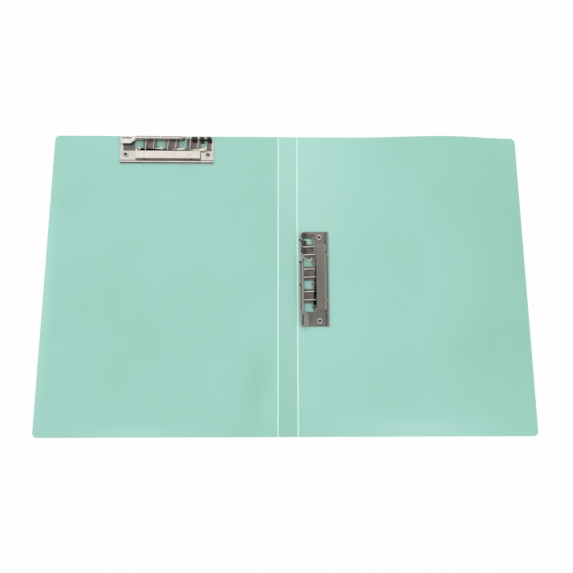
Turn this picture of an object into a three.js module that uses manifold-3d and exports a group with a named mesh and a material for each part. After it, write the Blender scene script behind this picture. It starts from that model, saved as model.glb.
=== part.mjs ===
// Clip folder: a plastic sheet folder lying open, with two lever clips riveted inside it.
// Millimetres, +Z up. The folder lies open on its outside faces, +Y towards the top edge
// of the pages. X = 0 is the middle of the spine, and Z = 0 is the surface it lies on.

import * as THREE from 'three';
import { mergeVertices } from 'three/addons/utils/BufferGeometryUtils.js';
import Module from 'manifold-3d';

const wasm = await Module();
wasm.setup();

// Folder sizes
const coverWidth = 235;
const coverHeight = 310;
const spineWidth = 20;
const sheet = 0.8;
const cornerRadius = 5;

// Living hinges: a thin lip on each panel beside the crease line, and a shallow score
// line on each cover a little way outside it
const creaseGap = 0.4;
const creaseHalfWidth = 0.9;
const lipThickness = 0.3;
const scoreOffset = 3.6;
const scoreWidth = 0.8;
const scoreDepth = 0.2;

// The right cover stays curled up along its top edge
const bowHeight = 5.6;
const bowStart = 35;
const bowEnd = 232;
const bowSkew = 1.4;
const bowLowest = -60;

// Clearances
const seatGap = 0.1;
const holeGap = 0.3;
const turnGap = 0.1;

// Clip: u runs along it from the handle end, v from its front edge to its hinge, h up
// from the cover it is riveted to
const clipLength = 98;
const clipDepth = 28.6;
const clipSheet = 0.8;
const clipCorner = 1.2;
const farCorner = 4.6;
const beadStart = 0.4;
const beadWidth = 2.8;
const beadHeight = 0.9;
const beadSlope = 0.8;

// Rivets
const rivetInset = 5.5;
const farRivetInset = 5.9;
const rivetFront = 9.9;
const rivetTube = 1.7;
const rivetBore = 1.15;
const rivetHead = 2.85;
const rivetHeadHeight = 0.55;
const rivetBack = 3;
const rivetBackHeight = 0.4;

// Stations along the clip: lugs that hold the press plate, windows they were bent out
// of, spring loops before them and hinge knuckles in line with them
const firstLug = 20;
const lastLugInset = 8.1;
const lugCount = 4;
const lugThickness = 1.2;
const lugFront = 13.9;
const lugLength = 3.6;
const lugHeight = 3.4;
const lugHeadReach = 1.3;
const lugHeadFront = 1.3;
const lugHeadLength = 2;
const lugHeadThickness = 0.65;
const windowBefore = 5.3;
const windowAfter = 3.6;
const windowLip = 1.6;
const windowRearInset = 2.8;
const windowCorner = 1;
const lastWindowAfter = 1.2;

// Hinge of the lever
const rodRadius = 0.6;
const rodHeight = 3;
const rodStart = 18.3;
const rodEndInset = 4;
const knuckleWall = 0.45;
const knuckleWidth = 2.4;
const knuckleBefore = 0.4;
const toeReach = 1.9;

// Lever: a half-round bar over the rod, a flat thumb tab and a hook at its far end
const leverSheet = 0.6;
const leverGap = 0.3;
const barStart = 15.5;
const barBeforeLug = 2.2;
const barWrap = 5;
const barOuterEdge = 40;
const notchTop = 78;
const earWidth = 2;
const earInset = 3.4;
const earLap = 0.2;
const tabLength = 16.5;
const tabDepth = 7.6;
const tabShoulder = 11;
const tabNeck = 3;
const tabEnd = 0.3;
const tabCorner = 2.4;
const tabThickness = 0.8;
const tabHeight = 3.3;
const hookRadius = 0.62;
const hookSpan = 5.8;
const hookDrop = 1.8;
const hookTipGap = 0.25;

// Press plate
const plateStart = 16.7;
const plateEndInset = 13.5;
const plateSheet = 0.7;
const lipFoot = 2.9;
const lipTop = 4.8;
const plateTop = 4.05;
const plateRear = 12.6;
const stepLength = 0.6;
const tongueTop = 2.35;
const tongueSpan = 17;
const tongueNarrow = 14.5;
const tongueWide = 17;
const tongueEndGap = 0.35;
const notchWidth = 1.7;
const notchDepth = 1.1;
const notchInset = 9.2;

// Spring loops
const springRadius = 0.65;
const springFirstLeg = 16.6;
const springWidth = 8.4;
const springCorner = 1.5;
const longLegEnd = 13.8;
const shortLegEnd = 14.9;
const legRise = 0.4;
const legFlat = 2.85;

// Places of the clips on the covers: the top clip's handle end is at its left, the side
// clip's at its lower end
const topClipFromCrease = 165.6;
const topClipFromEdge = 30.8;
const sideClipFromCrease = 32.6;
const sideClipBelowMiddle = 47.9;

// Facets
const holeSegments = 20;
const curveSegments = 4;
const wireSides = 6;

// Worked-out values
const floorGap = rivetBackHeight + seatGap;
const insideFace = floorGap + sheet;
const creaseHalf = spineWidth / 2;
const knuckleRadius = rodRadius + turnGap + knuckleWall;
const rodV = clipDepth - knuckleRadius;
const barInner = knuckleRadius + leverGap;
const barOuter = barInner + leverSheet;
const baseTop = seatGap + clipSheet;
const lugPitch = (clipLength - firstLug - lastLugInset) / (lugCount - 1);
const lugStations = [...Array(lugCount).keys()].map((i) => firstLug + i * lugPitch);
const knuckleStations = lugStations.slice(1).map((u) => u - knuckleBefore);
const rivetStations = [rivetInset, clipLength - farRivetInset];
const barEnd = lugStations[lugCount - 2] - barBeforeLug;
const plateEnd = clipLength - plateEndInset;
const tabFront = clipDepth - tabDepth;
const tabNeckFront = clipDepth - tabNeck;
const legHigh = tongueWide + legRise;
const legLow = rodV - legFlat;
const springLow = baseTop + turnGap + springRadius;
const springHigh = tongueTop + turnGap + springRadius;

const plastic = new THREE.MeshStandardMaterial({ color: 0xa3d6c8, roughness: 0.45, metalness: 0 });
const nickel = new THREE.MeshStandardMaterial({ color: 0xc9c5c0, roughness: 0.2, metalness: 1 });
const wireSteel = new THREE.MeshStandardMaterial({ color: 0xdedcd8, roughness: 0.15, metalness: 1 });

// A closed geometry becomes a solid that can be joined and cut
function solid(geometry) {
  const bare = geometry.index ? geometry.toNonIndexed() : geometry.clone();
  bare.deleteAttribute('normal');
  bare.deleteAttribute('uv');
  const merged = mergeVertices(bare, 1e-4);
  const vertProperties = new Float32Array(merged.attributes.position.array);
  const triVerts = new Uint32Array(merged.index.array);
  return new wasm.Manifold(new wasm.Mesh({ numProp: 3, vertProperties, triVerts }));
}

function mesh(name, shape, material) {
  let geometry = shape;
  if (!shape.isBufferGeometry) {
    const cut = shape.getMesh();
    geometry = new THREE.BufferGeometry();
    geometry.setAttribute('position', new THREE.BufferAttribute(cut.vertProperties, 3));
    geometry.setIndex(new THREE.BufferAttribute(cut.triVerts, 1));
    geometry.computeVertexNormals();
  }
  const part = new THREE.Mesh(geometry, material);
  part.name = name;
  return part;
}

// A plan outline raised from one height to another
function raised(shape, low, high) {
  const geometry = new THREE.ExtrudeGeometry(shape, {
    depth: high - low,
    bevelEnabled: false,
    curveSegments,
  });
  geometry.translate(0, 0, low);
  return solid(geometry);
}

function block(u0, u1, v0, v1, low, high) {
  const geometry = new THREE.BoxGeometry(u1 - u0, v1 - v0, high - low);
  geometry.translate((u0 + u1) / 2, (v0 + v1) / 2, (low + high) / 2);
  return solid(geometry);
}

function disc(u, v, radius, low, high) {
  const geometry = new THREE.CylinderGeometry(radius, radius, high - low, holeSegments);
  geometry.rotateX(Math.PI / 2);
  geometry.translate(u, v, (low + high) / 2);
  return solid(geometry);
}

// A rectangle whose corners are rounded, each by its own radius, counter-clockwise from
// the corner at (u0, v0)
function roundedRectangle(u0, u1, v0, v1, radii) {
  const [a, b, c, d] = radii;
  const shape = new THREE.Shape();
  shape.moveTo(u0 + a, v0);
  shape.lineTo(u1 - b, v0);
  shape.absarc(u1 - b, v0 + b, b, -Math.PI / 2, 0);
  shape.lineTo(u1, v1 - c);
  shape.absarc(u1 - c, v1 - c, c, 0, Math.PI / 2);
  shape.lineTo(u0 + d, v1);
  shape.absarc(u0 + d, v1 - d, d, Math.PI / 2, Math.PI);
  shape.lineTo(u0, v0 + a);
  shape.absarc(u0 + a, v0 + a, a, Math.PI, 1.5 * Math.PI);
  return shape;
}

// A closed outline in the v-h plane carried along u
function alongU(outline, u0, u1) {
  const shape = new THREE.Shape(outline.map(([v, h]) => new THREE.Vector2(v, h)));
  const geometry = new THREE.ExtrudeGeometry(shape, { depth: u1 - u0, bevelEnabled: false });
  const axes = new THREE.Matrix4().makeBasis(
    new THREE.Vector3(0, 1, 0),
    new THREE.Vector3(0, 0, 1),
    new THREE.Vector3(1, 0, 0),
  );
  geometry.applyMatrix4(axes);
  geometry.translate(u0, 0, 0);
  return solid(geometry);
}

// Outline of a sheet folded along its middle line, with mitred folds
function foldedSheet(middle, thickness) {
  const points = middle.map(([v, h]) => new THREE.Vector2(v, h));
  const directions = points.slice(1).map((p, i) => p.clone().sub(points[i]).normalize());
  const above = [];
  const below = [];
  points.forEach((point, i) => {
    const before = directions[Math.max(i - 1, 0)];
    const after = directions[Math.min(i, directions.length - 1)];
    const normal = new THREE.Vector2(-before.y - after.y, before.x + after.x).normalize();
    const reach = thickness / 2 / normal.dot(new THREE.Vector2(-before.y, before.x));
    above.push([point.x + normal.x * reach, point.y + normal.y * reach]);
    below.push([point.x - normal.x * reach, point.y - normal.y * reach]);
  });
  return below.concat(above.reverse());
}

// Arc of a ring in the v-h plane, angles in degrees from +v towards +h
function ringArc(v, h, inner, outer, from, to) {
  const steps = Math.ceil((to - from) / 15);
  const at = (radius, i) => {
    const angle = THREE.MathUtils.degToRad(from + ((to - from) * i) / steps);
    return [v + radius * Math.cos(angle), h + radius * Math.sin(angle)];
  };
  const numbers = [...Array(steps + 1).keys()];
  return numbers.map((i) => at(outer, i)).concat(numbers.reverse().map((i) => at(inner, i)));
}

// A cylinder about the rod's axis
function aroundRod(radius, u0, u1) {
  const geometry = new THREE.CylinderGeometry(radius, radius, u1 - u0, holeSegments);
  geometry.rotateZ(Math.PI / 2);
  geometry.translate((u0 + u1) / 2, rodV, rodHeight);
  return solid(geometry);
}

// A round wire through the given points
function wire(points, radius, steps) {
  const section = new THREE.Shape();
  for (let i = 0; i < wireSides; i += 1) {
    const angle = (2 * Math.PI * (i + 0.5)) / wireSides;
    const corner = [radius * Math.cos(angle), radius * Math.sin(angle)];
    if (i === 0) section.moveTo(...corner);
    else section.lineTo(...corner);
  }
  const extrudePath = new THREE.CatmullRomCurve3(
    points.map((p) => new THREE.Vector3(...p)),
    false,
    'centripetal',
  );
  return solid(new THREE.ExtrudeGeometry(section, { steps, extrudePath }));
}

// A thin panel over a grid: columns give x and the two faces' heights, rows give y and
// how far the free edge is drawn in there
function panel(columns, rows, lift) {
  const positions = [];
  const wide = columns.length;
  const place = (column, row, face) => {
    const drawn = column.rounds ? row.inset * column.rounds : 0;
    const x = column.x - drawn;
    positions.push(x, row.y, column[face] + lift(x, row.y));
  };
  rows.forEach((row) => columns.forEach((column) => place(column, row, 'top')));
  rows.forEach((row) => columns.forEach((column) => place(column, row, 'bottom')));
  const under = wide * rows.length;
  const index = [];
  const quad = (a, b, c, d) => index.push(a, b, c, a, c, d);
  for (let j = 0; j + 1 < rows.length; j += 1) {
    for (let i = 0; i + 1 < wide; i += 1) {
      const a = j * wide + i;
      quad(a, a + 1, a + wide + 1, a + wide);
      quad(under + a, under + a + wide, under + a + wide + 1, under + a + 1);
    }
    const left = j * wide;
    const right = left + wide - 1;
    quad(left, left + wide, under + left + wide, under + left);
    quad(right, under + right, under + right + wide, right + wide);
  }
  for (let i = 0; i + 1 < wide; i += 1) {
    const last = (rows.length - 1) * wide + i;
    quad(i, under + i, under + i + 1, i + 1);
    quad(last, last + 1, under + last + 1, under + last);
  }
  const geometry = new THREE.BufferGeometry();
  geometry.setAttribute('position', new THREE.Float32BufferAttribute(positions, 3));
  geometry.setIndex(index);
  return geometry;
}

const column = (x, top = insideFace, rounds = 0) => ({ x, top, bottom: floorGap, rounds });

// Columns of a cover, measured from its crease line: the lip, the crease groove, the
// score line, the plain sheet and the rounded free edge
function coverColumns(plainSteps) {
  const lipTopFace = floorGap + lipThickness;
  const slope = sheet - lipThickness;
  const columns = [
    column(creaseGap / 2, lipTopFace),
    column(creaseHalfWidth - slope / 2, lipTopFace),
    column(creaseHalfWidth),
    column(scoreOffset - scoreWidth / 2),
    column(scoreOffset, insideFace - scoreDepth),
    column(scoreOffset + scoreWidth / 2),
  ];
  const plainStart = scoreOffset + scoreWidth / 2;
  const plainEnd = coverWidth - cornerRadius;
  for (let i = 1; i <= plainSteps; i += 1) {
    columns.push(column(plainStart + ((plainEnd - plainStart) * i) / plainSteps));
  }
  columns.push(column(coverWidth, insideFace, 1));
  return columns;
}

// Rows of a cover from bottom to top, with the corner arcs at both ends
function coverRows(plainSteps) {
  const arcSteps = 4;
  const straight = coverHeight / 2 - cornerRadius;
  const rows = [];
  for (let i = 0; i < arcSteps; i += 1) {
    const angle = (Math.PI / 2) * (1 - i / arcSteps);
    rows.push({
      y: -straight - cornerRadius * Math.sin(angle),
      inset: cornerRadius * (1 - Math.cos(angle)) * 0.999,
    });
  }
  for (let i = 0; i <= plainSteps; i += 1) {
    rows.push({ y: straight * ((2 * i) / plainSteps - 1), inset: 0 });
  }
  for (let i = arcSteps - 1; i >= 0; i -= 1) {
    rows.push({ y: -rows[i].y, inset: rows[i].inset });
  }
  return rows;
}

// Height of the right cover's curl: a smooth hump across the cover that grows from
// nothing at bowLowest to its full height at the top edge
function curl(x, y) {
  const across = THREE.MathUtils.clamp((x - bowStart) / (bowEnd - bowStart), 0, 1);
  const up = THREE.MathUtils.clamp((y - bowLowest) / (coverHeight / 2 - bowLowest), 0, 1);
  return bowHeight * Math.sin(Math.PI * across ** bowSkew) ** 2 * up ** 2;
}

const flat = () => 0;

// Cuts a cover's rivet holes, given where a clip's u-v plan lies on the cover
function pierced(cover, place) {
  return rivetStations.reduce((rest, u) => {
    const [x, y] = place(u, rivetFront);
    return rest.subtract(disc(x, y, rivetTube + holeGap, 0, insideFace + sheet));
  }, cover);
}

// Where a point of a clip's plan lies on the covers
const topPlace = (u, v) => [
  -creaseHalf - topClipFromCrease + u,
  coverHeight / 2 - topClipFromEdge + v,
];
const sidePlace = (u, v) => [creaseHalf + sideClipFromCrease - v, -sideClipBelowMiddle + u];

function backCover() {
  const blank = panel(coverColumns(16), coverRows(14), curl);
  blank.translate(creaseHalf, 0, 0);
  return mesh('back_cover', pierced(solid(blank), sidePlace), plastic);
}

function frontCover() {
  const blank = panel(coverColumns(1), coverRows(1), flat);
  blank.scale(-1, -1, 1);
  blank.translate(-creaseHalf, 0, 0);
  return mesh('front_cover', pierced(solid(blank), topPlace), plastic);
}

function spine() {
  const lipTopFace = floorGap + lipThickness;
  const slope = sheet - lipThickness;
  const edge = creaseHalf - creaseGap / 2;
  const shoulder = creaseHalf - creaseHalfWidth;
  const outline = [
    [-edge, floorGap],
    [edge, floorGap],
    [edge, lipTopFace],
    [shoulder + slope / 2, lipTopFace],
    [shoulder, insideFace],
    [-shoulder, insideFace],
    [-shoulder - slope / 2, lipTopFace],
    [-edge, lipTopFace],
  ];
  const shape = new THREE.Shape(outline.map(([x, z]) => new THREE.Vector2(x, z)));
  const geometry = new THREE.ExtrudeGeometry(shape, { depth: coverHeight, bevelEnabled: false });
  geometry.rotateX(Math.PI / 2);
  geometry.translate(0, coverHeight / 2, 0);
  return mesh('spine', solid(geometry), plastic);
}

// The stamped base: a sheet with a bead along its front edge, windows, bent-up lugs and
// the knuckles that hold the rod
function basePlate(name) {
  const low = seatGap + clipSheet / 2;
  const middle = [
    [0, low],
    [beadStart, low],
    [beadStart + beadSlope, low + beadHeight],
    [beadStart + beadWidth - beadSlope, low + beadHeight],
    [beadStart + beadWidth, low],
    [clipDepth, low],
  ];
  const corners = [clipCorner, clipCorner, farCorner, clipCorner];
  const outline = roundedRectangle(0, clipLength, 0, clipDepth, corners);
  let plate = alongU(foldedSheet(middle, clipSheet), 0, clipLength);
  plate = plate.intersect(raised(outline, 0, clipDepth));
  lugStations.forEach((u, i) => {
    const after = i + 1 < lugCount ? windowAfter : lastWindowAfter;
    const corner = [windowCorner, windowCorner, windowCorner, windowCorner];
    const front = lugFront + windowLip;
    const rear = clipDepth - windowRearInset;
    const opening = roundedRectangle(u - windowBefore, u + after, front, rear, corner);
    plate = plate.subtract(raised(opening, 0, baseTop + 1));
  });
  rivetStations.forEach((u) => {
    plate = plate.subtract(disc(u, rivetFront, rivetTube + holeGap, 0, baseTop + 1));
  });
  lugStations.forEach((u) => {
    const rear = lugFront + lugLength;
    const headFront = lugFront + lugHeadFront;
    const headLow = lugHeight - lugHeadThickness;
    plate = plate.add(block(u, u + lugThickness, lugFront, rear, seatGap, lugHeight));
    plate = plate.add(block(
      u - lugHeadReach,
      u + lugThickness,
      headFront,
      headFront + lugHeadLength,
      headLow,
      lugHeight,
    ));
  });
  knuckleStations.forEach((u) => {
    const u0 = u - knuckleWidth / 2;
    const u1 = u + knuckleWidth / 2;
    const neckRear = rodV + knuckleRadius;
    const neck = block(u0, u1, neckRear - knuckleWall, neckRear, seatGap, rodHeight);
    const toeOutline = new THREE.Shape();
    const toeCentre = clipDepth + toeReach - knuckleWidth / 2;
    toeOutline.moveTo(u0, clipDepth - clipSheet);
    toeOutline.lineTo(u1, clipDepth - clipSheet);
    toeOutline.lineTo(u1, toeCentre);
    toeOutline.absarc(u, toeCentre, knuckleWidth / 2, 0, Math.PI);
    const toe = raised(toeOutline, seatGap, baseTop);
    plate = plate.add(aroundRod(knuckleRadius, u0, u1)).add(neck).add(toe);
  });
  return mesh(name, plate.subtract(aroundRod(rodRadius + turnGap, 0, clipLength)), nickel);
}

function pivotRod(name) {
  return mesh(name, aroundRod(rodRadius, rodStart, clipLength - rodEndInset), wireSteel);
}

// The lever: the bar with its notches for the knuckles and two ears on the rod, the thumb
// tab and the end hook
function lever(name) {
  const wrap = ringArc(rodV, rodHeight, barInner, barOuter, barOuterEdge, 180 + barWrap);
  let bar = alongU(wrap, barStart, barEnd);
  const notch = ringArc(rodV, rodHeight, rodRadius, barOuter + leverSheet, 0, notchTop);
  knuckleStations.forEach((u) => {
    const reach = knuckleWidth / 2 + leverGap;
    bar = bar.subtract(alongU(notch, u - reach, u + reach));
  });
  [barStart + earInset, barEnd - earInset - earWidth].forEach((u) => {
    const ear = aroundRod(barInner + earLap, u, u + earWidth);
    bar = bar.add(ear.subtract(aroundRod(rodRadius + turnGap, u - 1, u + earWidth + 1)));
  });
  const tab = new THREE.Shape();
  tab.moveTo(tabEnd + tabCorner, tabFront);
  tab.lineTo(tabShoulder, tabFront);
  tab.lineTo(tabLength, tabNeckFront);
  tab.lineTo(tabLength, clipDepth);
  tab.lineTo(tabEnd + clipCorner, clipDepth);
  tab.absarc(tabEnd + clipCorner, clipDepth - clipCorner, clipCorner, Math.PI / 2, Math.PI);
  tab.lineTo(tabEnd, tabFront + tabCorner);
  tab.absarc(tabEnd + tabCorner, tabFront + tabCorner, tabCorner, Math.PI, 1.5 * Math.PI);
  const crown = rodHeight + barOuter - leverSheet / 2;
  const hookTop = rodHeight + knuckleRadius + leverGap / 2 + hookRadius;
  const reach = rodV - tongueWide - hookTipGap;
  const hookPath = [
    [-0.41, 0, 0],
    [0.1, 0.02, 0],
    [0.69, 0.07, -0.06],
    [1, -0.1, -0.22],
    [0.79, -0.33, -0.44],
    [0.4, -0.55, -0.61],
    [0.36, -0.78, -0.78],
    [0.71, -0.95, -0.94],
    [0.97, -1, -1],
  ].map(([along, out, down]) => [
    barEnd + along * hookSpan,
    rodV + out * reach,
    hookTop + down * hookDrop,
  ]);
  hookPath[0][2] = crown;
  const pieces = raised(tab, tabHeight, tabHeight + tabThickness);
  return mesh(name, bar.add(pieces).add(wire(hookPath, hookRadius, 26)), nickel);
}

// The press plate: a folded channel whose rear tongues are held down by the lugs
function pressPlate(name) {
  const top = plateTop - plateSheet / 2;
  const low = tongueTop - plateSheet / 2;
  const foot = seatGap + beadHeight + clipSheet + seatGap + plateSheet / 2;
  const middle = [
    [lipFoot, foot],
    [lipTop, top],
    [plateRear, top],
    [plateRear + stepLength, low],
    [tongueWide, low],
  ];
  const end = lugStations[lugCount - 1] - tongueEndGap;
  let plate = alongU(foldedSheet(middle, plateSheet), plateStart, end);
  const tall = plateTop + 1;
  plate = plate.subtract(block(plateEnd, end + 1, 0, plateRear + stepLength, 0, tall));
  let before = 0;
  lugStations.forEach((u) => {
    const tongueStart = u - tongueSpan;
    const waste = new THREE.Shape();
    waste.moveTo(before, plateRear + stepLength + plateSheet / 2);
    waste.lineTo(Math.max(tongueStart, before), plateRear + stepLength + plateSheet / 2);
    waste.lineTo(Math.max(tongueStart, before), tongueNarrow);
    waste.lineTo(u - tongueEndGap, tongueWide);
    waste.lineTo(u - tongueEndGap, tongueWide + 1);
    waste.lineTo(before, tongueWide + 1);
    plate = plate.subtract(raised(waste, 0, tall));
    const slotRear = tongueWide + 1;
    const slotEnd = u + lugThickness + tongueEndGap;
    plate = plate.subtract(block(
      u - tongueEndGap,
      slotEnd,
      lugFront - tongueEndGap,
      slotRear,
      0,
      tall,
    ));
    before = slotEnd;
  });
  [plateStart, plateEnd].forEach((u, side) => {
    const centre = u + notchInset * (side ? -1 : 1);
    const half = notchWidth / 2;
    plate = plate.subtract(block(centre - half, centre + half, 0, lipFoot + notchDepth, 0, tall));
  });
  return mesh(name, plate, nickel);
}

// A spring loop: its closed end lies under the rod and its two legs rise over a tongue
// of the press plate
function spring(name, u) {
  const left = u - springFirstLeg;
  const right = left + springWidth;
  const path = [
    [left, longLegEnd, springHigh],
    [left, legHigh, springHigh],
    [left, (legHigh + legLow) / 2, (springHigh + springLow) / 2],
    [left, legLow, springLow],
    [left, rodV - springCorner, springLow],
    [left + 0.3 * springCorner, rodV - 0.3 * springCorner, springLow],
    [left + springCorner, rodV, springLow],
    [right - springCorner, rodV, springLow],
    [right - 0.3 * springCorner, rodV - 0.3 * springCorner, springLow],
    [right, rodV - springCorner, springLow],
    [right, legLow, springLow],
    [right, (legHigh + legLow) / 2, (springHigh + springLow) / 2],
    [right, legHigh, springHigh],
    [right, shortLegEnd, springHigh],
  ];
  return mesh(name, wire(path, springRadius, 44), wireSteel);
}

// A hollow rivet: a rolled head on the base plate, a tube through the cover and a back
// flange under it, as one ring turned about its own axis
function rivet(name, u) {
  const back = -sheet - seatGap;
  const head = baseTop + turnGap;
  const profile = [
    [rivetBore, back - rivetBackHeight],
    [rivetBack, back - rivetBackHeight],
    [rivetBack, back],
    [rivetTube, back],
    [rivetTube, head],
    [rivetHead, head],
    [rivetHead, head + rivetHeadHeight / 2],
    [rivetHead - rivetHeadHeight, head + rivetHeadHeight],
    [rivetBore + rivetHeadHeight / 2, head + rivetHeadHeight],
    [rivetBore, head + rivetHeadHeight / 2],
    [rivetBore, back - rivetBackHeight],
  ];
  const points = profile.map(([r, h]) => new THREE.Vector2(r, h));
  const geometry = new THREE.LatheGeometry(points, holeSegments);
  geometry.rotateX(Math.PI / 2);
  geometry.translate(u, rivetFront, 0);
  return mesh(name, solid(geometry), nickel);
}

function clip(prefix) {
  const group = new THREE.Group();
  group.add(basePlate(`${prefix}_base_plate`));
  group.add(pivotRod(`${prefix}_pivot_rod`));
  group.add(lever(`${prefix}_lever`));
  group.add(pressPlate(`${prefix}_press_plate`));
  lugStations.slice(1).forEach((u, i) => group.add(spring(`${prefix}_spring_${i + 1}`, u)));
  const ends = ['near', 'far'];
  rivetStations.forEach((u, i) => group.add(rivet(`${prefix}_${ends[i]}_rivet`, u)));
  return group;
}

const folder = new THREE.Group();
folder.add(backCover(), spine(), frontCover());

const topClip = clip('top_clip');
topClip.position.set(...topPlace(0, 0), insideFace);
const sideClip = clip('side_clip');
sideClip.position.set(...sidePlace(0, 0), insideFace);
sideClip.rotation.z = Math.PI / 2;
folder.add(topClip, sideClip);

export default folder;
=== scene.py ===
"""Looks of the clip folder: a mint plastic sheet folder with two plated lever clips.

Lengths are in millimetres, and become metres where a mesh or a shader takes them. A clip
has its own u along its length, v from its front to its rear and h above the sheet.
"""

import math

import bmesh
import bpy
import numpy as np
from mathutils import Matrix, Vector


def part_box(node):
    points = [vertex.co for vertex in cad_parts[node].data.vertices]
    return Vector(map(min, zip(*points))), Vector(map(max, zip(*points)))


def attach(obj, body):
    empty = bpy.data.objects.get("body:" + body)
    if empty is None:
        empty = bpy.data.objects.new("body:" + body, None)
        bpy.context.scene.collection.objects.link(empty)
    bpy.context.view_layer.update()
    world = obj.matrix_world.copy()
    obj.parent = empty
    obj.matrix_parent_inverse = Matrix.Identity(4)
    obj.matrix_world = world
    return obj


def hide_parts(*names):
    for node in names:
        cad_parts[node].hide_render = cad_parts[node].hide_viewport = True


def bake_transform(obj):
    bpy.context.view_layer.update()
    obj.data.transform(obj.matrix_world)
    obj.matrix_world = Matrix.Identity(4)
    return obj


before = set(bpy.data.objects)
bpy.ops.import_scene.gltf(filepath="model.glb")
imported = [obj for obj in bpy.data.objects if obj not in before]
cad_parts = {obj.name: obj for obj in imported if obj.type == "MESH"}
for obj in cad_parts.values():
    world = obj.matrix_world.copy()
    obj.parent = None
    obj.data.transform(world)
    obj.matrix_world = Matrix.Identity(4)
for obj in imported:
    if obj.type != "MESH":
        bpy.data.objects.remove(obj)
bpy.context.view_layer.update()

MM = 0.001

# The camera that the photograph was taken with, in millimetres and radians
CAMERA_PLACE = (-11.75, -107.61, 550.17)
CAMERA_TILT = 0.18117
CAMERA_LEAN = -0.01981
CAMERA_TURN = 0.00168
CAMERA_NEAREST = 10.0
IMAGE_SIDE = 573
FOCAL_PIXELS = 549.8
SENSOR = 36.0

# Folder sheet, its creases and the score lines beside them
SHEET = 0.8
CORNER = 5.0
CREASE_GAP = 0.4
CREASE_HALF = 0.9
LIP = 0.3
LEVEL_AFTER_LIP = 0.4
SCORE_OFFSET = 3.6
SCORE_WIDTH = 0.8
SCORE_DEPTH = 0.14
SPINE_LEVEL = 7.0

# Rivet holes, and the drill that cuts them to both sides of the inner face
HOLE_RADIUS = 1.9
DRILL_REACH = 3.0
DRILL_SIDES = 40

# The thin web in a crease: its reach to each side, how far it lies inside the lips, and
# how far it ends short of the sheet
WEB_REACH = 0.6
WEB_INSIDE = 0.06
WEB_SHORT = 0.3

# Rows and columns of the sheet's grids
GROOVE_COLUMNS = 9
PLAIN_COLUMNS = 64
ARC_ROWS = 12
STRAIGHT_ROWS = 76
SPINE_ROWS = 80
WEB_COLUMNS = 13
ARC_SHARE = 0.999  # keeps the last two columns apart where the corner's arc ends

# Curl of the right cover, measured from its crease line
CURL_HEIGHT = 5.6
CURL_START = 35.0
CURL_END = 232.0
CURL_SKEW = 1.4
CURL_LOWEST = -60.0

# Softly broken edges: how wide, and from what angle in degrees
SHEET_EDGE = (0.16, 35.0)
STEEL_EDGE = (0.12, 28.0)
HOOD_EDGE = (0.1, 40.0)
EDGE_SEGMENTS = 2
MERGE_REACH = 0.005
FLAT_WITHIN = 0.6

# Round wires and the spring loops
TUBE_SIDES = 20
DOME_RINGS = 4
DOME_FLATNESS = 0.6
DOME_TIP = 0.02
PATH_STEPS = 8
ROD_RADIUS = 0.6
ROD_SHORT = 0.4
ROD_STEPS = 12
WIRE_RADIUS = 0.65
WIRE_CORNER = 1.5
CORNER_CUT = 0.3
LEG_LEVEL = 3.6
LEG_LANDING = 2.85
SECOND_LEG_SHORT = 1.1

# Rivets, as radii and heights
AXIS_RADIUS = 0.01
RIVET_BORE = 1.35
RIVET_TUBE = 1.7
RIVET_HEAD = 0.55
RIVET_HEAD_INSET = 0.15
RIVET_FLOOR = 0.7
RIVET_FLOOR_EDGE = 0.3
FLANGE = 0.4
FLANGE_ROUND = 0.2
RIVET_SIDES = 48
RIM_STEPS = 14
FLANGE_STEPS = 5

# Hoods over the rod, each from one u to another with one end rounded off, and their
# section from the base up to their rear
HOODS = [(75.3, 81.2, 0.0), (83.7, 88.2, 0.0), (91.4, 96.4, 2.6)]
HOOD_START = 22.4
HOOD_END = 28.5
HOOD_LOW = 0.9
HOOD_HIGH = 4.55
HOOD_SHEET = 0.5
HOOD_EASE = 1.35
HOOD_ROUND_FROM = 0.45
HOOD_ROWS = 26
HOOD_COLUMNS = 9

# Nibs that hold the press plate: their u, and their path in v and h
NIBS = (25.9, 74.3)
NIB_SIDE = ((0.8, 1.35), (1.8, 1.5), (2.6, 1.5), (3.8, 1.2))
NIB_RADIUS = 0.5

# Lit studio, in metres: half the floor's side, and each lamp's name, place, size and watts
FLOOR_HALF = 6.0
LAMPS = [
    ("key", (-0.9, 2.3, 2.6), (3.0, 2.4), 24.0),
    ("fill", (2.2, -1.6, 2.6), (2.4, 2.4), 14.0),
]
CAMERA_RAY = "Is Camera Ray"
GLOSSY_RAY = "Is Glossy Ray"


class Value:
    """A number or colour socket that the usual operators work on, each adding one node."""

    def __init__(self, shader, socket):
        self.shader = shader
        self.socket = socket

    def _math(self, operation, *others):
        return self.shader.math(operation, *others)

    def __add__(self, other):
        return self._math("ADD", self, other)

    def __sub__(self, other):
        return self._math("SUBTRACT", self, other)

    def __rsub__(self, other):
        return self._math("SUBTRACT", other, self)

    def __mul__(self, other):
        return self._math("MULTIPLY", self, other)

    def __truediv__(self, other):
        return self._math("DIVIDE", self, other)

    def __abs__(self):
        return self._math("ABSOLUTE", self)

    __radd__ = __add__
    __rmul__ = __mul__

    def ramp(self, low, high):
        """0 below low, 1 above high and smooth between."""
        return self.shader.node(
            "ShaderNodeMapRange",
            {"interpolation_type": "SMOOTHSTEP"},
            {"Value": self, "From Min": low, "From Max": high},
        )

    def near(self, place, reach, full=0.0):
        """1 within full of a place, falling to 0 at reach from it."""
        return 1 - abs(self - place).ramp(full, reach)

    def span(self, start, full, fading, end):
        """1 from full to fading, and 0 before start and after end."""
        return self.ramp(start, full) * (1 - self.ramp(fading, end))


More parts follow.
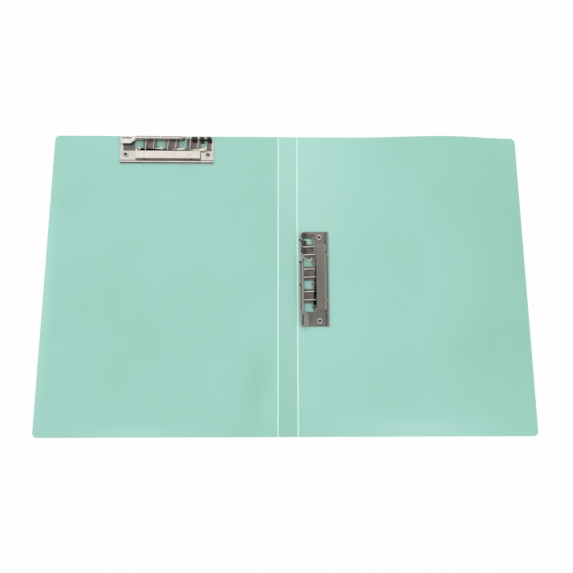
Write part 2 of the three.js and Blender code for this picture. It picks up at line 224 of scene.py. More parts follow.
class Shader:
    """One node tree, with a method that adds any node and sets its inputs."""

    def __init__(self, tree):
        self.tree = tree
        tree.nodes.clear()

    def node(self, kind, settings=None, inputs=None, output=0):
        """Adds a node. An input is a Value to link or a plain number or colour."""
        made = self.tree.nodes.new(kind)
        for key, value in (settings or {}).items():
            setattr(made, key, value)
        for key, value in (inputs or {}).items():
            socket = made.inputs[key]
            if isinstance(value, Value):
                self.tree.links.new(value.socket, socket)
            else:
                socket.default_value = value
        return Value(self, made.outputs[output]) if len(made.outputs) else made

    def math(self, operation, *values):
        """One Math node on values or plain numbers."""
        inputs = dict(enumerate(values))
        return self.node("ShaderNodeMath", {"operation": operation}, inputs)

    def mix(self, factor, first, second):
        """A colour between first and second."""
        inputs = {"Factor": factor, 6: first, 7: second}
        return self.node("ShaderNodeMix", {"data_type": "RGBA"}, inputs, output=2)

    def apart(self, vector):
        """The x, y and z of a vector."""
        first = self.node("ShaderNodeSeparateXYZ", None, {0: vector})
        return [Value(self, socket) for socket in first.socket.node.outputs]

    def place(self):
        """The point's own coordinates in metres, whole and apart."""
        point = self.node("ShaderNodeTexCoord", output="Object")
        return point, self.apart(point)

    def ray(self, kind):
        """1 where the surface or the world is seen by that kind of ray."""
        return self.node("ShaderNodeLightPath", output=kind)

    def stretched(self, point, scale):
        """Coordinates scaled by a different amount along each axis."""
        return self.node("ShaderNodeMapping", None, {"Vector": point, "Scale": scale})

    def noise(self, point, scale, detail=2.0, roughness=0.5):
        """Soft noise of 0 to 1, whose scale is in waves per metre."""
        inputs = {"Vector": point, "Scale": scale, "Detail": detail, "Roughness": roughness}
        return self.node("ShaderNodeTexNoise", None, inputs)

    def bump(self, height, distance, strength=1.0, below=None):
        """A normal from heights, over the one below it if there is one."""
        inputs = {"Height": height, "Distance": distance, "Strength": strength}
        if below is not None:
            inputs["Normal"] = below
        return self.node("ShaderNodeBump", None, inputs)


def colour(red, green, blue):
    """An sRGB colour of 0 to 255 as the linear values that a shader takes."""
    values = np.array([red, green, blue]) / 255
    linear = np.where(values <= 0.04045, values / 12.92, ((values + 0.055) / 1.055) ** 2.4)
    return (*linear.tolist(), 1.0)


# Plastic
SHEET_DEEP = colour(162, 217, 202)
SHEET_LIGHT = colour(167, 221, 207)
# The pale of the flow streaks, and also of the painted sheen
SHEET_PALE_AND_SHEEN = colour(188, 234, 222)
# Painted shade, where the sheet's sheen is painted deeper
SHEET_PAINTED_SHADE = colour(148, 203, 184)
# Painted shade under the clips
CLIP_SHADOW_GREY = colour(112, 138, 128)
CREASE_WHITE = colour(230, 253, 246)

# The whitened line at a crease: its half width, and how far it lies beside each crease
CREASE_BAND = 1.3
LEFT_WHITENING = 0.7
RIGHT_WHITENING = 0.4

# Painted sheen, where the sheet is paler, and painted shade, where a negative share makes it
# deeper: x, y, half width, half height, share
LEFT_PAINTED_SHEEN = [
    (-150, 150, 150, 60, 0.12), (-150, -152, 90, 14, 0.45), (-246, -20, 14, 190, 0.55),
    (-30, -100, 17, 55, -0.35), (-18, -128, 12, 30, 0.2),
]
SPINE_PAINTED_SHEEN = [(0, 190, 30, 250, 0.55), (0, -170, 30, 170, -0.35)]
RIGHT_PAINTED_SHEEN = [
    (-20, 170, 150, 260, 0.62), (10, 0, 120, 300, 0.25), (130, -150, 110, 22, 0.5),
    (245, 40, 110, 300, -0.45), (190, -70, 90, 90, -0.2),
]

# Painted shade on the sheet under a clip: how far inside the base, how soft its edge is,
# how far below the inner face, and how grey it is at least
CLIP_SHADOW_INSET = 1.5
CLIP_SHADOW_SOFT = 2.0
CLIP_SHADOW_DEPTH = (-0.3, -0.1)
TOP_CLIP_SHADOW = 0.14
SIDE_CLIP_SHADOW = 0.02

# Steel
BASE_TINT = colour(217, 215, 211)
BASE_DULL = colour(204, 201, 197)
BAR_TINT = colour(228, 225, 222)
BAR_DULL = colour(212, 209, 205)
UNDER_TAB_SHADE = colour(124, 131, 121)
FIELD_SHADE = colour(118, 112, 104)
# Painted shade, as dark lines in the groove, the seam and along the bar's rear
PAINTED_SHADE_LINE = colour(90, 88, 86)
PRESS_TINT = colour(227, 221, 212)
WIRE_TINT = colour(249, 247, 245)
# Hoods painted dark as painted shade, darker on the top clip than on the side clip
TOP_HOOD_SHADE = colour(84, 79, 76)
SIDE_HOOD_SHADE = colour(134, 130, 126)
# Painted shade down a rivet's bore
BORE_SHADE = colour(150, 148, 145)

# Where shade is painted on the base: under the tab, with a painted green reflection, in the
# field between the springs but not up the lugs, and along the groove behind the bead
UNDER_TAB_U = (2.4, 3.2, 15.2, 16.0)
UNDER_TAB_V = (13.6, 14.4)
FIELD_U = (16.2, 16.9, 95.5, 96.3)
FIELD_V = (13.6, 14.2)
LUG_H = (1.0, 1.4)
GROOVE_V = (3.5, 0.7)

# Where shade is painted dark on the lever: the turned seam of its tab and the rear edge of its
# bar
SEAM_U = (1.0, 2.0, 11.5, 12.5)
SEAM_V = (26.9, 0.95)
EDGE_U = (16.5, 17.5, 66.0, 68.0)
EDGE_BAND = (1.2, 0.9)

# Where shade is painted down a rivet's bore, above the folder's back
BORE_Z = (0.55, 0.6, 2.0, 2.7)

# What shines sees these: the walls low down and higher up, the window behind the folder,
# the walls in front, left and right, and the grey ceiling, darker near the front
LOW_WALL = colour(110, 110, 110)
WALL = colour(241, 238, 234)
REAR_WINDOW = (1.09, 1.07, 1.04, 1.0)
FRONT_WALL = colour(66, 66, 66)
LEFT_WALL = colour(112, 112, 112)
RIGHT_WALL = colour(158, 155, 152)
FRONT_CEILING = colour(98, 99, 99)
CEILING = colour(116, 117, 117)
WHITE = (1.0, 1.0, 1.0, 1.0)
FLOOR_WHITE = (0.92, 0.92, 0.92, 1.0)
FLOOR_GLOW = 0.93
AIR_STRENGTH = 0.75

# Where each wall begins and where it is full, by the x, y or z of a direction of length 1
WALL_Z = (0.12, 0.5)
REAR_Y = (0.1, 0.32)
REAR_Z = (0.3, 0.5)
FRONT_Y = (-0.8, -0.62)
LEFT_X = (-0.52, -0.36)
RIGHT_X = (0.42, 0.7)

# The ceiling, by slopes of x or y to z: its middle, how far it reaches and how far it is
# full, then where it turns from its front grey to its own, and the z that it begins at
CEILING_X = (0.2, 0.4, 0.26)
CEILING_Y = (0.2, 0.19, 0.1)
CEILING_TURN = (0.1, 0.17)
CEILING_Z = (0.5, 0.6)


def box_mm(node):
    """A node's lowest and highest corners."""
    low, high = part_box(node)
    return np.array(low) / MM, np.array(high) / MM


floor_gap = box_mm("spine")[0][2]
inside_face = floor_gap + SHEET
crease = box_mm("spine")[1][0] + CREASE_GAP / 2
height = box_mm("spine")[1][1] * 2
cover_width = box_mm("back_cover")[1][0] - crease
white_lines = (-crease + LEFT_WHITENING, crease + RIGHT_WHITENING)


class ClipPlace:
    """Turns a clip's own u, v and h into the folder's millimetres."""

    def __init__(self, prefix, cover, upright):
        self.prefix = prefix
        self.cover = cover
        self.upright = upright
        low, high = box_mm(f"{prefix}_base_plate")
        self.middle = ((low + high) / 2)[:2]
        self.half_size = ((high - low) / 2)[:2]
        self.corner = (high[0] if upright else low[0], low[1])

    def points(self, local):
        """Rows of u, v and h as rows of x, y and z."""
        u, v, h = np.asarray(local, float).T
        x, y = (-v, u) if self.upright else (u, v)
        return np.stack([self.corner[0] + x, self.corner[1] + y, inside_face + h], axis=-1)

    def own(self, x, y):
        """A shader's x and y in metres as the clip's u and v in millimetres."""
        right = x / MM - self.corner[0]
        up = y / MM - self.corner[1]
        return (up, -1 * right) if self.upright else (right, up)

    def local_box(self, node):
        """The lowest and the highest u, v and h of one of the clip's nodes."""
        low, high = box_mm(f"{self.prefix}_{node}")
        origin = np.array([*self.corner, inside_face])
        low, high = low - origin, high - origin
        if self.upright:
            low, high = (low[1], -high[0], low[2]), (high[1], -low[0], high[2])
        return np.array(low), np.array(high)

    def rivet_centre(self, end):
        """The middle of a rivet in the folder's millimetres, at the sheet's inner face."""
        low, high = self.local_box(f"{end}_rivet")
        middle = (low + high) / 2
        return self.points([(middle[0], middle[1], 0)])[0]


def new_material(name):
    """A material, and the shader that adds its nodes."""
    material = bpy.data.materials.new(name)
    material.use_nodes = True
    return material, Shader(material.node_tree)


def finished(material, shader, inputs):
    """The material with one surface that takes the inputs."""
    surface = shader.node("ShaderNodeBsdfPrincipled", None, inputs)
    shader.node("ShaderNodeOutputMaterial", None, {"Surface": surface})
    return material


def folder_plastic(name, painted_sheen, clip=None, clip_shadow=0.0):
    """Satin polypropylene: a fine matt grain, faint flow clouds, and paler creases.

    Each patch of painted sheen is painted light, a paler colour in place of the sheet's
    sheen: the x and y of its middle, its half width and half height, and how pale it is.
    A negative one is painted shade, deeper.
    Under a clip the inner face is painted grey, as painted shade from the clip.
    """
    material, shader = new_material(name)
    point, (x, y, z) = shader.place()
    clouds = shader.noise(point, scale=9.0, detail=3.0)
    along = shader.stretched(point, (60.0, 3.0, 1.0))
    streaks = shader.noise(along, scale=1.0, detail=3.0)
    body = shader.mix(clouds.ramp(0.3, 0.7), SHEET_DEEP, SHEET_LIGHT)
    body = shader.mix(streaks.ramp(0.45, 0.8) * 0.05, body, SHEET_PALE_AND_SHEEN)
    # Painted sheen and painted shade, patch by patch
    for middle_x, middle_y, half_width, half_height, paleness in painted_sheen:
        patch = x.near(middle_x * MM, half_width * MM) * y.near(middle_y * MM, half_height * MM)
        other = SHEET_PALE_AND_SHEEN if paleness > 0 else SHEET_PAINTED_SHADE
        body = shader.mix(patch * abs(paleness), body, other)
    # Painted shade under the clip, greyer where the clouds are
    if clip:
        under_clip_shadow = (z / MM).ramp(*(inside_face + depth for depth in CLIP_SHADOW_DEPTH))
        for across, middle, half in zip((x, y), clip.middle, clip.half_size - CLIP_SHADOW_INSET):
            under_clip_shadow = under_clip_shadow * across.near(middle * MM, half * MM, (half - CLIP_SHADOW_SOFT) * MM)
        body = shader.mix(under_clip_shadow * (clip_shadow + clouds * 0.3), body, CLIP_SHADOW_GREY)
    ripple = shader.noise(shader.stretched(point, (200.0, 25.0, 1.0)), scale=1.0)
    for line in white_lines:
        whitened = x.near(line * MM, CREASE_BAND * MM).ramp(0.05, 0.65)
        body = shader.mix(whitened * (0.8 + ripple * 0.3), body, CREASE_WHITE)
    grain = shader.noise(point, scale=2600.0)
    waves = shader.noise(point, scale=14.0, detail=1.0)
    normal = shader.bump(waves, distance=0.0035, strength=0.35)
    normal = shader.bump(grain, distance=0.00002, strength=0.5, below=normal)
    return finished(material, shader, {
        "Base Color": body,
        "Roughness": 0.40 + grain * 0.06 + clouds * 0.05,
        "IOR": 1.49,
        "Normal": normal,
    })


def wiped(shader, point, bright, dull):
    """The clouds that wiping leaves on plate, and a tint that follows them."""
    clouds = shader.noise(point, scale=160.0, detail=3.0)
    return clouds, shader.mix(clouds.ramp(0.35, 0.75), bright, dull)


def plated_steel(name, place, tint, rough, brushed=0.4, dented=0.35, dulled=0.82):
    """Nickel plate: a mirror with faint drawing lines, small dents and cloudy wiping."""
    material, shader = new_material(name)
    point, _ = shader.place()
    stretch = (900.0, 30.0, 900.0) if place.upright else (30.0, 900.0, 900.0)
    lines = shader.noise(shader.stretched(point, stretch), scale=1.0, detail=3.0, roughness=0.6)
    dents = shader.noise(point, scale=420.0, detail=1.0)
    normal = shader.bump(dents, distance=0.00016, strength=dented)
    normal = shader.bump(lines, distance=0.00001, strength=brushed, below=normal)
    dull = (*(dulled * part for part in tint[:3]), 1.0)
    clouds, body = wiped(shader, point, tint, dull)
    return finished(material, shader, {
        "Base Color": body,
        "Metallic": 1.0,
        "Roughness": rough + clouds * 0.06 + lines * 0.05,
        "Normal": normal,
    })


def base_steel(name, place):
    """Nickel plate that is rougher and painted with shade under the tab and between the springs,
    and painted with a line of shade along the groove behind the bead.
    """
    material, shader = new_material(name)
    point, (x, y, z) = shader.place()
    u, v = place.own(x, y)
    under_tab = u.span(*UNDER_TAB_U) * v.ramp(*UNDER_TAB_V)
    lugs = (z / MM - inside_face).ramp(*LUG_H)
    field = u.span(*FIELD_U) * v.ramp(*FIELD_V) * (1 - lugs * 0.9)
    clouds, tint = wiped(shader, point, BASE_TINT, BASE_DULL)
    # Painted shade and green reflection under the tab
    tint = shader.mix(under_tab * (0.85 + clouds * 0.2), tint, UNDER_TAB_SHADE)
    # Painted shade in the field between the springs
    tint = shader.mix(field * (0.6 + clouds * 0.6), tint, FIELD_SHADE)
    # Painted shade along the groove behind the bead
    tint = shader.mix(v.near(*GROOVE_V) * 0.9, tint, PAINTED_SHADE_LINE)
    dents = shader.noise(point, scale=300.0, detail=1.0)
    return finished(material, shader, {
        "Base Color": tint,
        "Metallic": 1.0,
        "Roughness": 0.12 + clouds * 0.08 + under_tab * 0.3 + field * 0.2,
        "Normal": shader.bump(dents, distance=0.0001, strength=0.35),
    })


def lever_steel(name, place):
    """Nickel plate, with dark painted shade in the turned seam of the tab and along the bar's
    rear edge.
    """
    material, shader = new_material(name)
    point, (x, y, _) = shader.place()
    u, v = place.own(x, y)
    seam = u.span(*SEAM_U) * v.near(*SEAM_V).ramp(0.1, 0.5)
    rear = place.local_box("lever")[1][1]
    edge = u.span(*EDGE_U) * v.ramp(*(rear - inset for inset in EDGE_BAND))
    clouds, tint = wiped(shader, point, BAR_TINT, BAR_DULL)
    # Painted shade in the seam and along the bar's rear edge
    tint = shader.mix(seam * 0.95, tint, PAINTED_SHADE_LINE)
    tint = shader.mix(edge * 0.8, tint, PAINTED_SHADE_LINE)
    dents = shader.noise(point, scale=420.0, detail=1.0)
    return finished(material, shader, {
        "Base Color": tint,
        "Metallic": 1.0,
        "Roughness": 0.17 + clouds * 0.08,
        "Normal": shader.bump(dents, distance=0.0001, strength=0.3),
    })


def rivet_steel(name):
    """Nickel plate with painted shade and more roughness down the bore, between the folder's back
    and its face.
    """
    material, shader = new_material(name)
    _, (_, _, z) = shader.place()
    bore = (z / MM).span(*BORE_Z)
    return finished(material, shader, {
        "Base Color": shader.mix(bore, BAR_TINT, BORE_SHADE),
        "Metallic": 1.0,
        "Roughness": 0.16 + bore * 0.4,
    })


def linked(name, data, material):
    """A smooth object with one material, at the origin."""
    made = bpy.data.objects.new(name, data)
    bpy.context.scene.collection.objects.link(made)
    data.materials.clear()
    data.materials.append(material)
    data.shade_smooth()
    return made


def new_object(name, vertices, faces, material):
    """A mesh object from vertices in millimetres."""
    data = bpy.data.meshes.new(name)
    data.from_pydata((np.asarray(vertices) * MM).tolist(), [], faces)
    data.validate()
    return linked(name, data, material)


def face_outwards(data, fill=False):
    """Turns a closed mesh's faces outwards, after filling its open rings if asked."""
    mesh = bmesh.new()
    mesh.from_mesh(data)
    if fill:
        bmesh.ops.holes_fill(mesh, edges=mesh.edges)
    bmesh.ops.recalc_face_normals(mesh, faces=mesh.faces)
    mesh.to_mesh(data)
    mesh.free()


def finish_edges(made, width, angle):
    """Softly broken edges, where faces meet at more than an angle in degrees."""
    bevel = made.modifiers.new("edges", "BEVEL")
    bevel.width = width * MM
    bevel.segments = EDGE_SEGMENTS
    bevel.limit_method = "ANGLE"
    bevel.angle_limit = math.radians(angle)
    bevel.harden_normals = True
    return made


def hang(made, body, slot, *nodes):
    """A piece rides on its body and stands for its nodes, if any, which are hidden; its slot is
    not used.
    """
    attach(made, body)
    if nodes:
        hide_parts(*nodes)


def grid_faces(rows, columns, start=0, wrap=False, turned=False):
    """Quads between neighbouring points of a grid, wrapped round its columns or not."""
    row, column = np.meshgrid(
        np.arange(rows - 1), np.arange(columns if wrap else columns - 1), indexing="ij"
    )
    beside = (column + 1) % columns
    quads = np.stack([
        row * columns + column,
        row * columns + beside,
        (row + 1) * columns + beside,
        (row + 1) * columns + column,
    ], axis=-1).reshape(-1, 4) + start
    return (quads[:, ::-1] if turned else quads).tolist()


def closed_sheet(name, layers, rows, columns, material):
    """Two grids of points, one over the other, joined round their rim."""
    count = rows * columns
    faces = grid_faces(rows, columns) + grid_faces(rows, columns, count, turned=True)
    rim = np.concatenate([
        np.arange(columns),
        np.arange(1, rows) * columns + columns - 1,
        (rows - 1) * columns + np.arange(columns - 2, -1, -1),
        np.arange(rows - 2, 0, -1) * columns,
    ])
    beyond = np.roll(rim, -1)
    faces += np.stack([beyond, rim, rim + count, beyond + count], axis=-1).tolist()
    made = new_object(name, layers, faces, material)
    face_outwards(made.data)
    return made


def layered(x, y, heights):
    """The points of grids that share their x and y, each at its own heights."""
    layers = [
        np.stack([x, y, np.broadcast_to(high, x.shape)], axis=-1).reshape(-1, 3)
        for high in heights
    ]
    return np.concatenate(layers)


def swept_tube(name, path, radius, material):
    """A round wire: a circle carried along a smooth path, closed by a dome at each end.

    The circle stands across the path's direction, and its upright axis is the part of
    the clip's upward direction that is square to it. A dome's rings follow a quarter
    turn, flattened lengthwise.
    """
    step = np.gradient(path, axis=0)
    ahead = step / np.linalg.norm(step, axis=1)[:, None]
    path = path.copy()
    path[0] += DOME_FLATNESS * radius * ahead[0]
    path[-1] -= DOME_FLATNESS * radius * ahead[-1]
    rise = np.linspace(0, np.pi / 2, DOME_RINGS + 1)[1:]
    out = DOME_FLATNESS * radius * np.sin(rise)[:, None]
    start = path[0] - ahead[0] * out[::-1]
    end = path[-1] + ahead[-1] * out
    centres = np.concatenate([start, path, end])
    ahead = np.concatenate([
        np.repeat(ahead[:1], DOME_RINGS, axis=0), ahead, np.repeat(ahead[-1:], DOME_RINGS, axis=0)
    ])
    round_end = np.cos(rise) + DOME_TIP
    width = radius * np.concatenate([round_end[::-1], np.ones(len(path)), round_end])
    side = np.cross(np.array([0.0, 0.0, 1.0]), ahead)
    side /= np.linalg.norm(side, axis=1)[:, None]
    up = np.cross(ahead, side)
    angle = np.linspace(0, 2 * np.pi, TUBE_SIDES, endpoint=False)
    points = (
        centres[:, None, :]
        + width[:, None, None] * np.cos(angle)[None, :, None] * side[:, None, :]
        + width[:, None, None] * np.sin(angle)[None, :, None] * up[:, None, :]
    )
    faces = grid_faces(len(centres), TUBE_SIDES, wrap=True)
    last = (len(centres) - 1) * TUBE_SIDES
    faces.append(list(range(TUBE_SIDES))[::-1])
    faces.append(list(range(last, last + TUBE_SIDES)))
    return new_object(name, points.reshape(-1, 3), faces, material)


def smooth_path(points):
    """A Catmull-Rom curve through the points: a cubic between each two, which leaves each
    point along the line between its neighbours."""
    knots = np.asarray(points, float)
    padded = np.concatenate([2 * knots[:1] - knots[1:2], knots, 2 * knots[-1:] - knots[-2:-1]])
    share = np.linspace(0, 1, PATH_STEPS, endpoint=False)[:, None]
    pieces = []
    for a, b, c, d in zip(padded[:-3], padded[1:-2], padded[2:-1], padded[3:]):
        pieces.append(0.5 * (
            2 * b
            + (c - a) * share
            + (2 * a - 5 * b + 4 * c - d) * share ** 2
            + (3 * b - a - 3 * c + d) * share ** 3
        ))
    return np.concatenate(pieces + [knots[-1:]])


def turned_ring(name, profile, centre, sides, material):
    """A closed profile of radius and height turned about an upright axis."""
    profile = np.asarray(profile)
    angle = np.linspace(0, 2 * np.pi, sides, endpoint=False)
    around = np.stack([np.cos(angle), np.sin(angle), np.zeros(sides)], axis=-1)
    upright = np.array([0.0, 0.0, 1.0])
    points = (
        np.asarray(centre)
        + profile[:, None, :1] * around[None]
        + profile[:, None, 1:] * upright
    )
    faces = grid_faces(len(profile) + 1, sides, wrap=True, turned=True)
    faces = (np.array(faces) % (len(profile) * sides)).tolist()
    return new_object(name, points.reshape(-1, 3), faces, material)


def copied(node, name, material):
    """A copy of a solid with its flat faces made whole and its edges softly broken."""
    mesh = bmesh.new()
    mesh.from_mesh(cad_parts[node].data)
    bmesh.ops.remove_doubles(mesh, verts=mesh.verts, dist=MERGE_REACH * MM)
    bmesh.ops.dissolve_limit(
        mesh, angle_limit=math.radians(FLAT_WITHIN), verts=mesh.verts, edges=mesh.edges
    )
    data = bpy.data.meshes.new(name)
    mesh.to_mesh(data)
    mesh.free()
    made = finish_edges(linked(name, data, material), *STEEL_EDGE)
    even = made.modifiers.new("even faces", "WEIGHTED_NORMAL")
    even.mode = "FACE_AREA"
    even.weight = 100
    even.keep_sharp = True
    return made


def pierced(made, centres):
    """Cuts round rivet holes through a sheet at the centres."""
    profile = [
        (AXIS_RADIUS, -DRILL_REACH), (HOLE_RADIUS, -DRILL_REACH),
        (HOLE_RADIUS, DRILL_REACH), (AXIS_RADIUS, DRILL_REACH),
    ]
    cuts = []
    for centre in centres:
        drill = turned_ring("drill", profile, centre, DRILL_SIDES, made.data.materials[0])
        face_outwards(drill.data, fill=True)
        cut = made.modifiers.new("hole", "BOOLEAN")
        cut.operation = "DIFFERENCE"
        cut.solver = "EXACT"
        cut.object = drill
        cuts.append(cut)
    bevel = made.modifiers["edges"]
    bevel.show_viewport = False
    bpy.context.view_layer.update()
    seen = made.evaluated_get(bpy.context.evaluated_depsgraph_get())
    cut_mesh = bpy.data.meshes.new_from_object(seen)
    drills = [cut.object for cut in cuts]
    for cut in cuts:
        made.modifiers.remove(cut)
    for drill in drills:
        bpy.data.objects.remove(drill)
    made.data = cut_mesh
    bevel.show_viewport = True


def panel(name, across, top, along, inset, lift, material):
    """A thin panel as two grids, its upper face and its underside, joined round their rim.

    across holds the x of each column, top the height of its upper face, along the y of
    each row, inset how far the corner arc draws the last column in, and lift(x, y) the
    height of the whole sheet above flat.
    """
    x = across[None, :] - inset[:, None] * np.sign(across[-1]) * (across == across[-1])
    y = np.broadcast_to(along[:, None], x.shape)
    up = lift(x, y)
    points = layered(x, y, (top[None, :] + up, floor_gap + up))
    made = closed_sheet(name, points, *x.shape, material)
    return finish_edges(made, *SHEET_EDGE)


def lip_heights():
    """From the lip's edge up to the sheet's face, as half a cosine wave."""
    wave = np.cos(np.pi * np.linspace(0, 1, GROOVE_COLUMNS))
    return floor_gap + LIP + (SHEET - LIP) * (1 - wave) / 2


def cover_columns():
    """Distances from the crease line and the height of the upper face at each.

    The lip rises to the sheet as half a cosine wave, and the score line is a whole one.
    """
    groove = np.linspace(CREASE_GAP / 2, CREASE_HALF, GROOVE_COLUMNS)
    share = np.linspace(-1, 1, GROOVE_COLUMNS)
    score = SCORE_OFFSET + SCORE_WIDTH / 2 * share
    dip = inside_face - SCORE_DEPTH * (1 + np.cos(np.pi * share)) / 2
    plain = np.linspace(SCORE_OFFSET + SCORE_WIDTH, cover_width - CORNER, PLAIN_COLUMNS)
    level = [CREASE_HALF + LEVEL_AFTER_LIP]
    x = np.concatenate([groove, level, score, plain, [cover_width]])
    plain_top = np.full(PLAIN_COLUMNS + 1, inside_face)
    return x, np.concatenate([lip_heights(), [inside_face], dip, plain_top])


def cover_rows():
    """The rows' y, and how far the corner arc draws the free edge in at each."""
    angle = np.linspace(0, np.pi / 2, ARC_ROWS)
    straight = height / 2 - CORNER
    arc = straight + CORNER * np.sin(angle)
    drawn = CORNER * (1 - np.cos(angle)) * ARC_SHARE
    middle = np.linspace(-straight, straight, STRAIGHT_ROWS + 2)[1:-1]
    return (
        np.concatenate([-arc[::-1], middle, arc]),
        np.concatenate([drawn[::-1], np.zeros(STRAIGHT_ROWS), drawn]),
    )


def curl(x, y):
    """A hump across the cover, a squared sine of a skewed share of its width, that grows
    with the square of the height above CURL_LOWEST."""
    from_crease = np.abs(x) - crease
    across = np.clip((from_crease - CURL_START) / (CURL_END - CURL_START), 0, 1)
    up = np.clip((y - CURL_LOWEST) / (height / 2 - CURL_LOWEST), 0, 1)
    return CURL_HEIGHT * np.sin(np.pi * across ** CURL_SKEW) ** 2 * up ** 2


def flat(x, y):
    """No lift anywhere."""
    return np.zeros_like(x)


def cover(name, side, lift, material, body, clip):
    """One cover, to the left or right of the spine by its side of -1 or 1."""
    columns, top = cover_columns()
    rows, inset = cover_rows()
    sheet = panel(name, side * (crease + columns), top, rows, inset, lift, material)
    pierced(sheet, [clip.rivet_centre(end) for end in ("near", "far")])
    hang(sheet, body, "sheet_plastic", body)


def spine_strip(material):
    """The strip between the two crease lines, with a lip at both edges."""
    lip = np.linspace(crease - CREASE_GAP / 2, crease - CREASE_HALF, GROOVE_COLUMNS)
    middle = np.linspace(-SPINE_LEVEL, SPINE_LEVEL, GROOVE_COLUMNS)
    x = np.concatenate([-lip, middle, lip[::-1]])
    rise = lip_heights()
    top = np.concatenate([rise, np.full(GROOVE_COLUMNS, inside_face), rise[::-1]])
    rows = np.linspace(-height / 2, height / 2, SPINE_ROWS)
    strip = panel("spine_strip", x, top, rows, np.zeros(SPINE_ROWS), flat, material)
    hang(strip, "spine", "sheet_plastic", "spine")


def hinge_web(name, line, material):
    """The thin web that is left of the sheet in a crease: a flat strip along it, which
    lies inside both lips."""
    x = line + np.linspace(-WEB_REACH, WEB_REACH, WEB_COLUMNS)
    x = np.broadcast_to(x, (SPINE_ROWS, WEB_COLUMNS))
    reach = height / 2 - WEB_SHORT
    y = np.broadcast_to(np.linspace(-reach, reach, SPINE_ROWS)[:, None], x.shape)
    points = layered(x, y, (floor_gap + LIP - WEB_INSIDE, floor_gap + WEB_INSIDE))
    web = closed_sheet(name, points, *x.shape, material)
    start = ((line - CREASE_GAP / 2) * MM, 0.0, (floor_gap + LIP / 2) * MM)
    end = ((line + CREASE_GAP / 2) * MM, 0.0, (floor_gap + LIP / 2) * MM)
    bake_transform(web)


def spring_loop(place, number, material):
    """A loop whose closed end lies low under the rod and whose legs rise to the front."""
    low, high = place.local_box(f"spring_{number}")
    left, right = low[0] + WIRE_RADIUS, high[0] - WIRE_RADIUS
    rear = high[1] - WIRE_RADIUS
    down, up = low[2] + WIRE_RADIUS, high[2] - WIRE_RADIUS
    tip = low[1]
    rise, fall = tip + LEG_LEVEL, rear - LEG_LANDING
    leg = [
        (tip, up), ((tip + rise) / 2, up), (rise, up), ((rise + fall) / 2, (up + down) / 2),
        (fall, down), (rear - WIRE_CORNER, down),
    ]
    cut = CORNER_CUT * WIRE_CORNER
    path = [(left, v, h) for v, h in leg]
    path += [(left + cut, rear - cut, down), (left + WIRE_CORNER, rear, down)]
    path += [(right - WIRE_CORNER, rear, down), (right - cut, rear - cut, down)]
    path += [(right, v, h) for v, h in leg[:0:-1]] + [(right, tip + SECOND_LEG_SHORT, up)]
    curve = smooth_path(place.points(path))
    return swept_tube(f"{place.prefix}_spring_wire_{number}", curve, WIRE_RADIUS, material)


def pivot_rod(place, material):
    """The straight rod that the lever turns about."""
    low, high = place.local_box("pivot_rod")
    middle = (low + high) / 2
    along = np.linspace(low[0] + ROD_SHORT, high[0] - ROD_SHORT, ROD_STEPS)
    axis = place.points([(u, middle[1], middle[2]) for u in along])
    return swept_tube(f"{place.prefix}_rod", axis, ROD_RADIUS, material)


def nib(place, number, u, material):
    """A short wire that stands out of the base's front and over the press plate's foot."""
    path = smooth_path(place.points([(u, v, h) for v, h in NIB_SIDE]))
    return swept_tube(f"{place.prefix}_nib_{number}", path, NIB_RADIUS, material)


def eyelet(place, end, material):
    """A rivet, hollow from the front, whose rim is rolled over as half an ellipse and
    whose flange ends in a quarter circle at the back."""
    low, high = place.local_box(f"{end}_rivet")
    bottom, seat = low[2], high[2] - RIVET_HEAD
    floor = bottom + RIVET_FLOOR
    back_radius = (high[0] - low[0]) / 2
    head = back_radius - RIVET_HEAD_INSET
    profile = [
        (AXIS_RADIUS, bottom), (AXIS_RADIUS, floor),
        (RIVET_BORE - RIVET_FLOOR_EDGE, floor), (RIVET_BORE, floor + RIVET_FLOOR_EDGE),
    ]
    middle, reach = (head + RIVET_BORE) / 2, (head - RIVET_BORE) / 2
    for roll in np.linspace(np.pi, 0, RIM_STEPS):
        profile.append((middle + reach * math.cos(roll), seat + RIVET_HEAD * math.sin(roll)))
    profile += [(RIVET_TUBE, seat), (RIVET_TUBE, bottom + FLANGE), (back_radius, bottom + FLANGE)]
    for roll in np.linspace(0, -np.pi / 2, FLANGE_STEPS):
        out, down = FLANGE_ROUND * math.cos(roll), FLANGE_ROUND * math.sin(roll)
        profile.append((back_radius - FLANGE_ROUND + out, bottom + FLANGE_ROUND + down))
    name = f"{place.prefix}_{end}_eyelet"
    return turned_ring(name, profile, place.rivet_centre(end), RIVET_SIDES, material)


def hood(place, number, low_u, high_u, corner, material):
    """A tongue of the base that rises at its rear and closes over the rod.

    Its section rises as a quarter sine wave of an eased share of its depth, and corner is
    how far the end at high_u is drawn in at the rear, as a quarter circle.
    """
    turn = np.linspace(0, 1, HOOD_ROWS)
    v = HOOD_START + (HOOD_END - HOOD_START) * turn
    rise = HOOD_LOW + (HOOD_HIGH - HOOD_LOW) * np.sin(np.pi / 2 * turn ** HOOD_EASE)
    share = np.clip((turn - HOOD_ROUND_FROM) / (1 - HOOD_ROUND_FROM), 0, 1)
    drawn = corner * (1 - np.sqrt(1 - share ** 2))
    u = np.linspace(low_u, high_u, HOOD_COLUMNS)
    across = low_u + (u[None, :] - low_u) * (1 - drawn[:, None] / (high_u - low_u))
    deep = np.broadcast_to(v[:, None], across.shape)
    points = place.points(layered(across, deep, (rise[:, None], rise[:, None] - HOOD_SHEET)))
    made = closed_sheet(f"{place.prefix}_hood_{number}", points, *across.shape, material)
    return finish_edges(made, *HOOD_EDGE)


